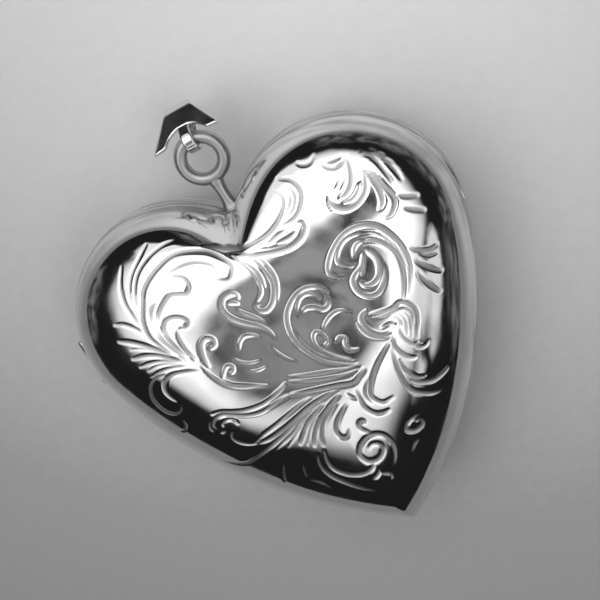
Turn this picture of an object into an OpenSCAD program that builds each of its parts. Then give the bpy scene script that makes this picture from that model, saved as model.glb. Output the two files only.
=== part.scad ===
// Heart-shaped locket box: two domed heart shells, hinged at one side, with a snap rim,
// a photo frame inside the lid, and a bail hanging from a ring in the cleft.
// Millimetres. The box lies on its back: +Z is the front's outward direction, +Y points from
// the heart's tip to its cleft. The origin is the middle of the back's flat crown.

/* [Heart outline] */
// Width across the two lobes
case_w = 34; // [28:1:42]
// Radius of each lobe
lobe_r = 9.35; // [8:0.05:11]
// Height of the lobe centres above the heart's tip
lobe_y = 24.65; // [22:0.05:28]
// Radius of the long arcs from the lobes to the tip
side_r = 37; // [32:0.5:50]
// Rounding of the tip
tip_r = 0.5; // [0.3:0.1:1.5]
// Rounding at the bottom of the cleft
cleft_r = 0.9; // [0.5:0.1:1.5]
// Height of the dome's crown above the tip
crown_y = 20.4; // [18:0.1:22]

/* [Domes] */
// Depth of each half, from the seam to the crown
dome_h = 6.5; // [5.5:0.1:8]
// Fullness of the dome: higher is flatter on top and rounder at the edge
fullness = 3; // [2:0.1:4]
// Straight edge beside the seam, outside
edge_h = 0.5; // [0.3:0.1:0.8]
// Sheet thickness at the side
wall = 0.55; // [0.45:0.05:0.65]
// Sheet thickness at the crown
crown_wall = 0.6; // [0.5:0.05:0.8]
// Straight seat for the snap rim, inside
seat_h = 0.9; // [0.8:0.05:1.1]
// Gap at the seam
seam_gap = 0.06; // [0.04:0.01:0.12]

/* [Snap rim and photo frame] */
// Thickness of the snap rim
rim_t = 0.4; // [0.3:0.05:0.6]
// How far the snap rim reaches into the back half
rim_reach = 0.7; // [0.4:0.05:1]
// Gap between the snap rim and the back half's wall
rim_clear = 0.07; // [0.05:0.01:0.12]
// Thickness of the frame's upright wall
frame_t = 0.35; // [0.25:0.05:0.6]
// Width of the frame's lip in front of the window
lip_w = 0.9; // [0.6:0.1:1.6]
// Thickness of the frame's lip
lip_t = 0.3; // [0.2:0.05:0.5]
// Thickness of the clear window
window_t = 0.3; // [0.2:0.05:0.4]
// Thickness of the photo card
card_t = 0.25; // [0.15:0.05:0.35]
// Play of the window and the card inside the frame
card_play = 0.08; // [0.05:0.01:0.2]

/* [Hinge] */
// Outside radius of the knuckles
knuckle_r = 0.45; // [0.45:0.05:0.6]
// Length of each knuckle
knuckle_len = 1.3; // [1:0.1:2.2]
// Gap between neighbouring knuckles
knuckle_gap = 0.1; // [0.06:0.01:0.2]
// Radius of the pin
pin_r = 0.22; // [0.18:0.01:0.26]
// Running clearance of the pin in the knuckles
pin_clear = 0.02; // [0.01:0.005:0.04]
// Clearance of a knuckle in the other half's channel
channel_clear = 0.07; // [0.05:0.01:0.12]
// Distance of the hinge line outside the widest point
hinge_out = 0.04; // [0.04:0.01:0.3]

/* [Nail notch] */
// Depth of the thumbnail notch in the lid's edge
notch_depth = 0.3; // [0.15:0.05:0.35]
// Radius of the cutter that makes the notch
notch_r = 1.2; // [0.8:0.1:2]

/* [Ring and bail] */
// Wire radius of the hanging ring
wire_r = 0.55; // [0.4:0.05:0.6]
// Outside radius of the hanging ring
ring_r = 2.3; // [2:0.1:2.6]
// Space between the cleft and the ring
ring_lift = 2.3; // [1.2:0.05:2.5]
// Thickness of the bail's strip
bail_t = 0.35; // [0.3:0.05:0.5]
// Clearance of the bail around the ring's wire
bail_clear = 0.19; // [0.16:0.01:0.3]
// Radius of the chain passage at the bail's fold
chain_r = 0.8; // [0.8:0.05:1.4]
// Distance from the ring's wire to the middle of the fold
bail_len = 2.3; // [2.2:0.1:4]
// Greatest width of the bail
bail_w = 6; // [4:0.1:7]
// Width of the bail's tongue inside the ring
tongue_w = 1; // [0.7:0.1:1.1]
// Width of the bail across the fold
fold_w = 1.2; // [1:0.1:3]
// How far the leaf's wing tips reach down beside the ring, from the middle of its wire
wing_drop = 0.5; // [0:0.05:0.6]
// Gap between the leaf's lower edge and the outside of the ring
leaf_gap = 0.12; // [0.1:0.01:0.3]
// How far the bail droops below the seam plane as it lies
bail_droop = 48; // [0:1:60]

/* [Hidden] */
$fn = 64;

silver = [0.80, 0.80, 0.79];
bright_silver = [0.90, 0.90, 0.89];
paper = [0.93, 0.91, 0.86];
clear_sheet = [0.85, 0.90, 0.92, 0.35];

seam_z = dome_h + seam_gap / 2;
overcut = 0.5;

// Arc centres of the right half of the outline, measured from the tip. The lobe and the side arc
// share a tangent, so their centres lie side_r - lobe_r apart.
lobe_centre = [case_w / 2 - lobe_r, lobe_y];
lobe_dist = norm(lobe_centre);
side_turn = acos((side_r^2 + lobe_dist^2 - (side_r - lobe_r)^2) / (2 * side_r * lobe_dist));
side_dir = atan2(lobe_centre.y, lobe_centre.x) + side_turn;
side_centre = side_r * [cos(side_dir), sin(side_dir)];
cleft_centre = [0, lobe_y + sqrt((lobe_r + cleft_r)^2 - lobe_centre.x^2)];
cleft_y = cleft_centre.y - cleft_r - crown_y;

// Steps along the cleft, lobe, side and tip arcs of one half
cleft_steps = 3;
lobe_steps = 20;
side_steps = 10;
tip_steps = 2;
outer_rings = 12;
inner_rings = 8;
fold_steps = 18;
// The dome's rings stop at this share of the outline, which leaves the flat crown
crown_share = 0.2;

function direction(a, b) = atan2(b.y - a.y, b.x - a.x);
function arc(centre, r, from, to, steps) =
    [for (i = [0 : steps - 1]) let (a = from + (to - from) * i / steps)
        centre + r * [cos(a), sin(a)]];

// Right half of the outline, moved inward by inset, from the cleft down to just before the tip
function half_outline(inset) =
    let (tip_round = max(tip_r - inset, 0.05),
         tip_centre = [0, side_centre.y
                          - sqrt((side_r - inset - tip_round)^2 - side_centre.x^2)],
         cleft_end = direction(cleft_centre, lobe_centre),
         lobe_end = direction(side_centre, lobe_centre),
         side_end = direction(side_centre, tip_centre))
    concat(arc(cleft_centre, cleft_r + inset, -90, cleft_end, cleft_steps),
           arc(lobe_centre, lobe_r - inset, cleft_end + 180, lobe_end, lobe_steps),
           arc(side_centre, side_r - inset, lobe_end, side_end, side_steps),
           arc(tip_centre, tip_round, side_end, -90, tip_steps),
           [tip_centre - [0, tip_round]]);

// Whole outline around the crown, clockwise from the cleft
function outline(inset) =
    let (right = half_outline(inset), last = len(right) - 1)
    concat([for (p = right) p - [0, crown_y]],
           [for (i = [last - 1 : -1 : 1]) [-right[i].x, right[i].y - crown_y]]);

function smooth(t) = let (u = min(max(t, 0), 1)) u * u * (3 - 2 * u);

// Distance of the round dome top's edge from the crown, in the direction of point p
function round_reach(p, inset) =
    let (a = 0.47 * case_w - inset, b = 0.44 * case_w - inset, d = p / norm(p))
    a * b / sqrt((b * d.x)^2 + (a * d.y)^2);

// One ring of a dome at a share of the outline: heart-shaped at the edge, round near the crown
function dome_ring(inset, share, z) =
    let (heart = smooth((share - 0.3) / 0.65))
    [for (p = outline(inset))
        let (q = share * (heart * p + (1 - heart) * round_reach(p, inset) * p / norm(p)))
        [q.x, q.y, z]];

// Rings of one surface of a half, from the seam to the crown
function dome_rings(inset, straight, height, rings) =
    let (last = acos(crown_share ^ (fullness / 2)))
    concat([dome_ring(inset, 1, 0)],
           [for (i = [0 : rings]) let (a = last * i / rings)
               dome_ring(inset, cos(a) ^ (2 / fullness),
                         straight + (height - straight) * (i == rings ? 1 : sin(a)))]);

module heart_plate(inset, z0, z1) {
    translate([0, 0, z0])
        linear_extrude(height = z1 - z0)
            polygon(outline(inset));
}

module heart_band(outer, inner, z0, z1) {
    difference() {
        heart_plate(outer, z0, z1);
        heart_plate(inner, z0 - overcut, z1 + overcut);
    }
}

// Hollow half with its seam at z = 0 and its crown upward
module half_shell() {
    outside = dome_rings(0, edge_h, dome_h, outer_rings);
    inside = dome_rings(wall, seat_h, dome_h - crown_wall, inner_rings);
    rings = concat([for (i = [len(inside) - 1 : -1 : 0]) inside[i]], outside);
    count = len(rings[0]);
    points = [for (r = rings) each r];
    sides = [for (j = [0 : len(rings) - 2], i = [0 : count - 1])
        let (a = j * count + i, b = j * count + (i + 1) % count)
        each [[a, b, b + count], [a, b + count, a + count]]];
    inner_crown = [for (i = [count - 1 : -1 : 0]) i];
    outer_crown = [for (i = [0 : count - 1]) (len(rings) - 1) * count + i];
    polyhedron(points, concat(sides, [inner_crown, outer_crown]));
}

hinge_x = -(case_w / 2 + hinge_out);
hinge_y = lobe_y - crown_y;
knuckle_pitch = knuckle_len + knuckle_gap;

// Round bar along the hinge line, its middle at a place counted in knuckles
module hinge_bar(place, r, length) {
    translate([hinge_x, hinge_y + place * knuckle_pitch - length / 2, seam_z])
        rotate([-90, 0, 0])
            cylinder(r = r, h = length);
}

module knuckle(place) {
    difference() {
        hinge_bar(place, knuckle_r, knuckle_len);
        hinge_bar(place, pin_r + pin_clear, knuckle_len + 2 * overcut);
    }
}

// Channel along a half's edge: close around its own knuckles, open around the others
module hinge_channel(own_places, other_places) {
    for (place = own_places)
        hinge_bar(place, knuckle_r, knuckle_len);
    for (place = other_places)
        hinge_bar(place, knuckle_r + channel_clear, knuckle_len + 2 * knuckle_gap);
}

module back_shell() {
    color(silver)
        difference() {
            translate([0, 0, dome_h])
                mirror([0, 0, 1])
                    half_shell();
            hinge_channel([-1, 1], [0]);
        }
}

module front_shell() {
    color(silver)
        difference() {
            translate([0, 0, seam_z + seam_gap / 2])
                half_shell();
            hinge_channel([0], [-1, 1]);
            translate([case_w / 2 + notch_r - notch_depth, hinge_y, seam_z])
                rotate([90, 0, 0])
                    cylinder(r = notch_r, h = case_w / 4, center = true);
        }
}

seat_z = seam_z + seam_gap / 2;
frame_z = seam_z - rim_reach / 3;

// Band soldered inside the lid, a little smaller where it slips into the back half
module snap_rim() {
    color(bright_silver) {
        heart_band(wall, wall + rim_t, seat_z, seat_z + seat_h);
        heart_band(wall + rim_clear, wall + rim_t, seam_z - rim_reach, seat_z);
    }
}

module photo_frame() {
    color(bright_silver) {
        heart_band(wall + rim_t, wall + rim_t + frame_t, frame_z + lip_t, seat_z + seat_h);
        heart_band(wall + rim_t, wall + rim_t + frame_t + lip_w, frame_z, frame_z + lip_t);
    }
}

module photo_window() {
    color(clear_sheet)
        heart_plate(wall + rim_t + frame_t + card_play,
                    frame_z + lip_t, frame_z + lip_t + window_t);
}

module photo_card() {
    card_z = frame_z + lip_t + window_t;
    color(paper)
        heart_plate(wall + rim_t + frame_t + card_play, card_z, card_z + card_t);
}

module hinge_knuckle_upper() {
    color(silver)
        knuckle(1);
}

module hinge_knuckle_middle() {
    color(silver)
        knuckle(0);
}

module hinge_knuckle_lower() {
    color(silver)
        knuckle(-1);
}

module hinge_pin() {
    color(bright_silver)
        hinge_bar(0, pin_r, 3 * knuckle_pitch);
}

ring_y = cleft_y + ring_lift + ring_r;
ring_z = dome_h - wire_r - 0.05;

// Wire ring on a short post that is soldered to the back half's edge in the cleft
module hanging_ring() {
    color(bright_silver) {
        translate([0, ring_y, ring_z])
            rotate_extrude()
                translate([ring_r - wire_r, 0])
                    circle(r = wire_r);
        difference() {
            translate([0, cleft_y - cleft_r, ring_z])
                rotate([-90, 0, 0])
                    cylinder(r = wire_r, h = cleft_r + ring_lift + wire_r);
            heart_plate(0, 0, 2 * dome_h);
        }
    }
}

// Outline around two circles a distance apart along +X, with straight tangent sides
function loop_outline(small_r, large_r, distance) =
    let (side = 90 + asin((large_r - small_r) / distance))
    concat(arc([distance, 0], large_r, side, -side, fold_steps),
           arc([distance, 0], large_r, -side, -side, 1),
           arc([0, 0], small_r, -side, side - 360, fold_steps),
           arc([0, 0], small_r, side - 360, side - 360, 1));

// Bar along X with that outline, its two circles apart along +Y
module loop_bar(small_r, large_r, distance, width) {
    rotate([90, 0, 90])
        linear_extrude(height = width, center = true)
            polygon(loop_outline(small_r, large_r, distance));
}

// Flat face from one height to another along Y, with a width at each
module tapered_face(low_w, high_w, low, high) {
    polygon([[low_w / 2, low], [high_w / 2, high], [-high_w / 2, high], [-low_w / 2, low]]);
}

// Arrow-shaped face: wings that reach down on both sides of the ring, clear of its round
module leaf_face(high) {
    difference() {
        tapered_face(bail_w, fold_w, -wing_drop, high);
        translate([0, wire_r - ring_r])
            circle(r = ring_r + leaf_gap);
    }
}

// Strip bent into a closed loop around the ring's wire: an arrow-shaped leaf in front, narrow behind
module bail() {
    hold_r = wire_r + bail_clear;
    low = -hold_r - bail_t - overcut;
    high = bail_len + chain_r + bail_t + overcut;
    depth = chain_r + bail_t + overcut;
    color(bright_silver)
        translate([0, ring_y + ring_r - wire_r, ring_z])
            rotate([-bail_droop, 0, 0])
                difference() {
                    intersection() {
                        loop_bar(hold_r + bail_t, chain_r + bail_t, bail_len, bail_w + overcut);
                        union() {
                            linear_extrude(height = depth)
                                leaf_face(high);
                            translate([0, 0, -depth])
                                linear_extrude(height = 2 * depth)
                                    tapered_face(tongue_w, fold_w, low, high);
                        }
                    }
                    loop_bar(hold_r, chain_r, bail_len, bail_w + 2 * overcut);
                }
}

back_shell();
front_shell();
snap_rim();
photo_frame();
photo_window();
photo_card();
hinge_knuckle_upper();
hinge_knuckle_middle();
hinge_knuckle_lower();
hinge_pin();
hanging_ring();
bail();
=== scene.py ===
import bmesh
import bpy
import numpy as np
from mathutils import Matrix


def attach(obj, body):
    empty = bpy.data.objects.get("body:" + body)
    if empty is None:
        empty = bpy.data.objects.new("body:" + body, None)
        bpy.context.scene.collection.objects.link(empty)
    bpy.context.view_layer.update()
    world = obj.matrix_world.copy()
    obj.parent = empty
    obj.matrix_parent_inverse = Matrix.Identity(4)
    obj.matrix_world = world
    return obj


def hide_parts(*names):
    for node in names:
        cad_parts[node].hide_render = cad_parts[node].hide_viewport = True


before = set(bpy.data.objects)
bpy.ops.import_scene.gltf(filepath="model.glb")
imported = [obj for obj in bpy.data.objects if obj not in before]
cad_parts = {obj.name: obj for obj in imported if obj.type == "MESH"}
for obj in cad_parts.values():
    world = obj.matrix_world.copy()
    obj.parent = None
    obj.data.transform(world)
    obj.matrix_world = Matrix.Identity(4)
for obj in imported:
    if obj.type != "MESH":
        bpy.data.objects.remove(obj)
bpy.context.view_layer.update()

# Back half
# The box itself: a heart pressed from silver sheet, puffed so that it is fullest in the middle, with
# a straight edge at the seam. It lies on its crown, and its edge is filed away around the hinge.
millimetre = 0.001
case_width = 34
lobe_radius, lobe_height = 9.35, 24.65
side_radius, tip_radius, cleft_radius = 37, 0.5, 0.9
crown_height, crown_across, crown_along = 20.4, 0.47, 0.44
heart_start, heart_blend, flank_start = 0.3, 0.65, 0.88
dome_depth, fullness, straight_edge = 6.5, 3, 0.5
wall, crown_wall, inside_edge = 0.55, 0.6, 0.9
seam_gap = 0.06
seam_z = dome_depth + seam_gap / 2
hinge_proud, channel_room = 0.04, 0.07
hinge_x, hinge_y = -case_width / 2 - hinge_proud, lobe_height - crown_height
knuckle_radius, knuckle_length, knuckle_gap = 0.45, 1.3, 0.1
knuckle_pitch = knuckle_length + knuckle_gap
channel_radius = knuckle_radius + channel_room


def arc(centre, radius, start, end, steps):
    """Points on a circle about centre, at angles spaced evenly from start to just before end."""
    angle = np.linspace(start, end, steps, endpoint=False)
    return centre + radius * np.stack([np.cos(angle), np.sin(angle)], axis=1)


def heading(a, b):
    """Direction from point a to point b, as an angle."""
    return np.arctan2(b[1] - a[1], b[0] - a[0])


def heart_side(inset):
    """Right half of the heart from the cleft to the tip: four arcs that share their tangents, for the
    cleft, the lobe, the long side and the tip, each moved inward by inset. Measured from the crown."""
    lobe = np.array([case_width / 2 - lobe_radius, lobe_height])
    reach = np.hypot(*lobe)
    side_turn = np.arccos((side_radius**2 + reach**2 - (side_radius - lobe_radius)**2)
                          / (2 * side_radius * reach))
    side_angle = np.arctan2(lobe[1], lobe[0]) + side_turn
    side = side_radius * np.array([np.cos(side_angle), np.sin(side_angle)])
    cleft = np.array([0, lobe_height + np.sqrt((lobe_radius + cleft_radius)**2 - lobe[0]**2)])
    tip_round = max(tip_radius - inset, 0.05)
    tip = np.array([0, side[1] - np.sqrt((side_radius - inset - tip_round)**2 - side[0]**2)])
    cleft_end, lobe_end, side_end = heading(cleft, lobe), heading(side, lobe), heading(side, tip)
    points = np.concatenate([
        arc(cleft, cleft_radius + inset, -np.pi / 2, cleft_end, 20),
        arc(lobe, lobe_radius - inset, cleft_end + np.pi, lobe_end, 100),
        arc(side, side_radius - inset, lobe_end, side_end, 100),
        arc(tip, tip_round, side_end, -np.pi / 2, 12),
        [tip - [0, tip_round]]])
    return points - [0, crown_height]


def heart_reach(angle, inset):
    """Distance from the crown to the heart's outline in each direction: the right half's distances,
    interpolated over their angles, and mirrored for the left half."""
    points = heart_side(inset)
    directions = np.arctan2(points[:, 1], points[:, 0])
    folded = np.arctan2(np.sin(angle), abs(np.cos(angle)))
    return np.interp(folded, directions[::-1], np.hypot(*points.T)[::-1])


def smooth(t):
    """Eased step from 0 to 1."""
    t = np.clip(t, 0, 1)
    return t * t * (3 - 2 * t)


def heart_dome(share, angle, inset):
    """Plan of the dome at a share of the way from the crown to the edge, in each direction: the
    heart's outline at the edge eases into an ellipse near the crown."""
    across, along = crown_across * case_width - inset, crown_along * case_width - inset
    ellipse = across * along / np.hypot(along * np.cos(angle), across * np.sin(angle))
    heart = smooth((share - heart_start) / heart_blend)
    radius = share * (heart * heart_reach(angle, inset) + (1 - heart) * ellipse)
    return radius * np.cos(angle), radius * np.sin(angle)


def dome_profile(straight, depth, steps, flank_density):
    """Share and height along the dome from the crown to the seam: height squared plus share to the
    power of the fullness is one, then a straight edge. The steps are even along the profile, and
    flank_density times as close on the flank."""
    turn = np.linspace(np.pi / 2, 0, 2000)
    share = np.append(np.cos(turn)**(2 / fullness), 1)
    height = np.append(straight + (depth - straight) * np.sin(turn), 0)
    length = np.hypot(np.diff(share) * case_width / 2, np.diff(height))
    place = np.append(0, np.cumsum(length * np.where(share[1:] > flank_start, flank_density, 1)))
    even = np.linspace(0, place[-1], steps + 1)
    return np.interp(even, place, share), np.interp(even, place, height)


def grid_quads(number):
    """Quads between the neighbours of a grid of point numbers."""
    return np.stack([number[:-1, :-1], number[:-1, 1:], number[1:, 1:], number[1:, :-1]],
                    axis=2).reshape(-1, 4)


def joined(number):
    """A grid of point numbers whose rows come round to their first column again."""
    return np.concatenate([number, number[:, :1]], axis=1)


def shell_half(cells, inside_rings, flank_density):
    """Points and faces of a hollow half with its seam at height 0. Outside, a square grid is drawn
    out into rings: a point's ring is its greater distance from the middle, and its place on the side
    of its square is its angle. Inside, rings of as many points go from the seam to the crown."""
    line = np.linspace(-1, 1, cells + 1)
    u, v = np.meshgrid(line, line)
    ring = np.maximum(abs(u), abs(v))
    wide = abs(u) >= abs(v)
    slope = np.where(wide, v, u) / np.where(ring > 0, np.where(wide, u, v), 1)
    angle = np.where(wide, slope, 2 - slope) * np.pi / 4 + np.pi * np.where(wide, u < 0, v < 0)
    step = np.rint(ring * cells / 2).astype(int)
    share, height = dome_profile(straight_edge, dome_depth, cells // 2, flank_density)
    outside = np.stack([*heart_dome(share[step], angle, 0), height[step]], axis=2)

    number = np.arange(outside.shape[0] * outside.shape[1]).reshape(outside.shape[:2])
    edge = np.concatenate([number[0, :-1], number[:-1, -1], number[-1, :0:-1], number[:0:-1, 0]])
    edge_angle = angle.ravel()[edge]
    share, height = dome_profile(inside_edge, dome_depth - crown_wall, inside_rings, 1)
    share, height = share[:0:-1, None], height[:0:-1, None]
    x, y = heart_dome(share, edge_angle[None, :], wall)
    inside = np.stack([x, y, np.broadcast_to(height, x.shape)], axis=2)
    crown = [[0, 0, dome_depth - crown_wall]]

    points = np.concatenate([outside.reshape(-1, 3), inside.reshape(-1, 3), crown])
    inner = number.size + np.arange(inside_rings * edge.size).reshape(inside_rings, edge.size)
    walls = joined(np.concatenate([edge[None, :], inner]))
    cap = np.stack([walls[-1, :-1], np.full(edge.size, len(points) - 1), walls[-1, 1:]], axis=1)
    faces = [*grid_quads(number).tolist(), *grid_quads(walls.T).tolist(), *cap.tolist()]
    return points, faces, outside.shape


def clear_bar(points, bar_x, bar_z, radius, middle_y, length):
    """Points inside a round bar along Y moved straight out to its surface. This is how a file leaves
    a channel or a notch in an edge."""
    off = points[:, [0, 2]] - [bar_x, bar_z]
    distance = np.hypot(*off.T)
    inside = (distance < radius) & (abs(points[:, 1] - middle_y) < length / 2)
    points[inside, 0] = bar_x + off[inside, 0] / distance[inside] * radius
    points[inside, 2] = bar_z + off[inside, 1] / distance[inside] * radius


def clear_hinge(points, own_places):
    """File the edge away around the three knuckles: close around those soldered to this half, and
    with room to turn around the others."""
    for place in (-1, 0, 1):
        middle = hinge_y + place * knuckle_pitch
        if place in own_places:
            clear_bar(points, hinge_x, seam_z, knuckle_radius, middle, knuckle_length)
        else:
            clear_bar(points, hinge_x, seam_z, channel_radius, middle, knuckle_length + 2 * knuckle_gap)


def add_piece(name, points, faces, material, body, node):
    """A smooth-shaded mesh from points in millimetres, with its corners kept sharp, which rides on a
    body and replaces a node."""
    mesh = bpy.data.meshes.new(name)
    mesh.from_pydata(points * millimetre, [], faces)
    mesh.shade_smooth()
    mesh.set_sharp_from_angle(angle=np.radians(65))
    mesh.materials.append(material)
    piece = bpy.data.objects.new(name, mesh)
    bpy.context.scene.collection.objects.link(piece)
    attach(piece, body)
    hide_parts(node)
    return piece


def new_node(tree, kind, *sources, **inputs):
    """A shader node, with links for its first inputs and values or links for others by name, where _
    stands for a space."""
    node = tree.nodes.new("ShaderNode" + kind)
    for socket, source in zip(node.inputs, sources):
        tree.links.new(source, socket)
    for name, value in inputs.items():
        socket = node.inputs[name.replace("_", " ")]
        if isinstance(value, bpy.types.NodeSocket):
            tree.links.new(value, socket)
        else:
            socket.default_value = value
    return node


def remap(tree, value, start, end, low, high):
    """A value eased from low to high as the source goes from start to end."""
    node = new_node(tree, "MapRange", value, From_Min=start, From_Max=end, To_Min=low, To_Max=high)
    node.interpolation_type = "SMOOTHSTEP"
    return node.outputs["Result"]


def calculate(tree, operation, first, second):
    """Two values, or a value and a number, put together by a mathematical operation."""
    node = new_node(tree, "Math", first)
    node.operation = operation
    if isinstance(second, bpy.types.NodeSocket):
        tree.links.new(second, node.inputs[1])
    else:
        node.inputs[1].default_value = second
    return node.outputs["Value"]


def noise(tree, place, scale, detail, roughness=0.5):
    """Smooth noise over places, as fine as its scale."""
    node = new_node(tree, "TexNoise", Vector=place, Scale=scale, Detail=detail, Roughness=roughness)
    return node.outputs["Fac"]


def drawn_noise(tree, place, turn, scales, detail):
    """Noise drawn out into streaks: turned about Z, with a scale of its own along each axis."""
    drawn = new_node(tree, "Mapping", Vector=place, Rotation=(0, 0, turn), Scale=scales)
    return noise(tree, drawn.outputs["Vector"], 1, detail)


def toned(tree, value, *stops):
    """A colour that runs through stops as a value rises, each a position with red, green and blue."""
    node = new_node(tree, "ValToRGB", value)
    elements = node.color_ramp.elements
    elements[0].position, elements[1].position = stops[0][0], stops[-1][0]
    for position, _ in stops[1:-1]:
        elements.new(position)
    for element, (_, colour) in zip(elements, stops):
        element.color = (*colour, 1)
    return node.outputs["Color"]


def new_material(name):
    """A material, with its node tree and its shader."""
    material = bpy.data.materials.new(name)
    material.use_nodes = True
    return material, material.node_tree, material.node_tree.nodes["Principled BSDF"]


def handled_silver_group():
    """Silver that is polished by hand and then carried: the sheet swells a little between strokes of
    the buff, hairlines cross it in two directions, and fingers leave duller patches. Tarnish darkens
    what the buff doesn't reach inside cuts, and painted shade darkens a streaky band along the seam,
    which dims the reflections on the flanks."""
    group = bpy.data.node_groups.new("handled_silver", "ShaderNodeTree")
    for name, way, kind in (("Tarnish", "INPUT", "Float"), ("Seam Painted Shade", "INPUT", "Float"),
                            ("Color", "OUTPUT", "Color"), ("Roughness", "OUTPUT", "Float"),
                            ("Normal", "OUTPUT", "Vector")):
        group.interface.new_socket(name, in_out=way, socket_type="NodeSocket" + kind)
    inlet = group.nodes.new("NodeGroupInput").outputs
    outlet = group.nodes.new("NodeGroupOutput")

    place = new_node(group, "TexCoord").outputs["Object"]
    height = new_node(group, "SeparateXYZ", place).outputs["Z"]
    # Painted shade: a streaky band darkens the silver within a few millimetres of the seam's height, dimming
    # the flanks' reflections
    off_seam = calculate(group, "ABSOLUTE", calculate(group, "SUBTRACT", height, seam_z * millimetre), 0)
    seam_shade_start, seam_shade_end = 0.8 * millimetre, 3.8 * millimetre
    streaks = drawn_noise(group, place, 0, (160, 160, 1500), 3)
    near_seam = calculate(group, "MULTIPLY", remap(group, off_seam, seam_shade_start, seam_shade_end, 1, 0),
                          remap(group, streaks, 0.35, 0.65, 0.2, 1))
    seam_shade_amount = calculate(group, "MULTIPLY", near_seam, inlet["Seam Painted Shade"])
    # The tarnish below is the given tarnish with the painted seam shade added to it
    tarnish = calculate(group, "ADD", inlet["Tarnish"], seam_shade_amount)
    swell = noise(group, place, 210, 1)
    patches = noise(group, place, 330, 5, 0.65)
    one_way, other_way = (
        remap(group, drawn_noise(group, place, turn, (16000, 900, 1500), 2), 0.62, 0.74, 0, 1)
        for turn in (0.5, -0.9))
    hairlines = calculate(group, "MAXIMUM", one_way, other_way)

    swell_height, hairline_depth = 0.06 * millimetre, 0.001 * millimetre
    waves = new_node(group, "Bump", Height=swell, Strength=1, Distance=swell_height)
    scratched = new_node(group, "Bump", Height=hairlines, Strength=0.12, Distance=hairline_depth,
                         Normal=waves.outputs["Normal"])
    group.links.new(scratched.outputs["Normal"], outlet.inputs["Normal"])
    worn = calculate(group, "MULTIPLY", hairlines, 0.05)
    dull = calculate(group, "MULTIPLY", tarnish, 0.5)
    handled = calculate(group, "ADD", remap(group, patches, 0.35, 0.75, 0.03, 0.11), worn)
    group.links.new(calculate(group, "ADD", handled, dull), outlet.inputs["Roughness"])
    film = calculate(group, "ADD", remap(group, patches, 0.45, 0.8, 0, 0.12), tarnish)
    colour = new_node(group, "Mix", Factor=film)
    colour.data_type = "RGBA"
    colour.inputs["A"].default_value = (0.9, 0.9, 0.895, 1)
    colour.inputs["B"].default_value = (0.22, 0.22, 0.215, 1)
    group.links.new(colour.outputs["Result"], outlet.inputs["Color"])
    return group


handled_silver = handled_silver_group()


def silver_material(name, tarnish, seam_painted_shade=0):
    """Handled silver with an even tarnish, or with one that is linked to its group afterwards, and with a
    given strength of painted shade along the seam.
    """
    material, tree, shader = new_material(name)
    shader.inputs["Metallic"].default_value = 1
    surface = new_node(tree, "Group")
    surface.node_tree = handled_silver
    surface.inputs["Tarnish"].default_value = tarnish
    surface.inputs["Seam Painted Shade"].default_value = seam_painted_shade
    for output, socket in (("Color", "Base Color"), ("Roughness", "Roughness"), ("Normal", "Normal")):
        tree.links.new(surface.outputs[output], shader.inputs[socket])
    return material, surface


# The back half's silver carries painted shade in streaks along the seam
shell_silver, _ = silver_material("shell_silver", 0.04, 0.7)
points, faces, _ = shell_half(140, 24, 1)
points[:, 2] = dome_depth - points[:, 2]
clear_hinge(points, (-1, 1))
add_piece("back_half", points, [face[::-1] for face in faces], shell_silver, "case", "back_shell")

# Hanging ring
# A ring of round silver wire, closed with solder, on a short post that is soldered into the cleft of
# the back half. The solder leaves a small fillet at both ends of the post.
wire_radius, ring_radius, ring_lift = 0.55, 2.3, 2.3
cleft_y = heart_side(0)[0, 1]
ring_y = cleft_y + ring_lift + ring_radius
ring_sunk = 0.05
ring_z = dome_depth - wire_radius - ring_sunk
post_share, post_sunk, post_rings = 0.85, 0.25, 40
foot_flare, ring_flare, flare_reach, flare_rise = 0.9, 0.35, 0.35, 0.2


def wrapped_quads(rows, columns, first):
    """Quads of a grid whose last row and column join its first, numbered from first."""
    number = first + np.arange(rows * columns).reshape(rows, columns)
    return grid_quads(np.pad(number, ((0, 1), (0, 1)), mode="wrap")).tolist()


def turned(radius, along, steps):
    """Rings of points about the Y axis, one for each radius at its height along Y."""
    angle = np.linspace(0, 2 * np.pi, steps, endpoint=False)
    x, z = radius[:, None] * np.cos(angle), radius[:, None] * np.sin(angle)
    return np.stack([x, np.broadcast_to(along[:, None], x.shape), z], axis=2)


def turned_bar(radius, along, steps):
    """Points and faces of a bar turned about the Y axis, with flat ends."""
    rings = turned(radius, along, steps)
    number = np.arange(rings.shape[0] * steps).reshape(-1, steps)
    sides = grid_quads(joined(number).T).tolist()
    return rings.reshape(-1, 3), [*sides, number[0].tolist(), number[-1, ::-1].tolist()]


around, across = 140, 28
turn, roll = np.meshgrid(np.linspace(0, 2 * np.pi, around, endpoint=False),
                         np.linspace(0, -2 * np.pi, across, endpoint=False), indexing="ij")
reach = ring_radius - wire_radius + wire_radius * np.cos(roll)
ring = np.stack([reach * np.cos(turn), ring_y + reach * np.sin(turn), ring_z + wire_radius * np.sin(roll)],
                axis=2).reshape(-1, 3)
post_y = np.linspace(cleft_y - post_sunk, cleft_y + ring_lift + wire_radius, post_rings)
fillet = np.ones(post_rings)
for end_distance, flare in ((post_y - cleft_y, foot_flare), (cleft_y + ring_lift - post_y, ring_flare)):
    fillet += flare * np.exp(-np.clip(end_distance, 0, None) / flare_reach)
post, post_faces = turned_bar(np.full(post_rings, post_share * wire_radius), post_y, across)
post[:, 0] *= np.repeat(fillet, across)
post[:, 2] = ring_z + post[:, 2] * np.repeat(1 + (fillet - 1) * flare_rise, across)
# Painted shade: the ring's silver is made far darker than the case's, standing in for the dark surroundings
# it reflects
ring_silver_painted_dark, _ = silver_material("ring_silver_painted_dark", 0.65)
post_faces = [[k + len(ring) for k in face] for face in post_faces]
add_piece("ring_and_post", np.concatenate([ring, post]), wrapped_quads(around, across, 0) + post_faces,
          ring_silver_painted_dark, "case", "hanging_ring")

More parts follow.
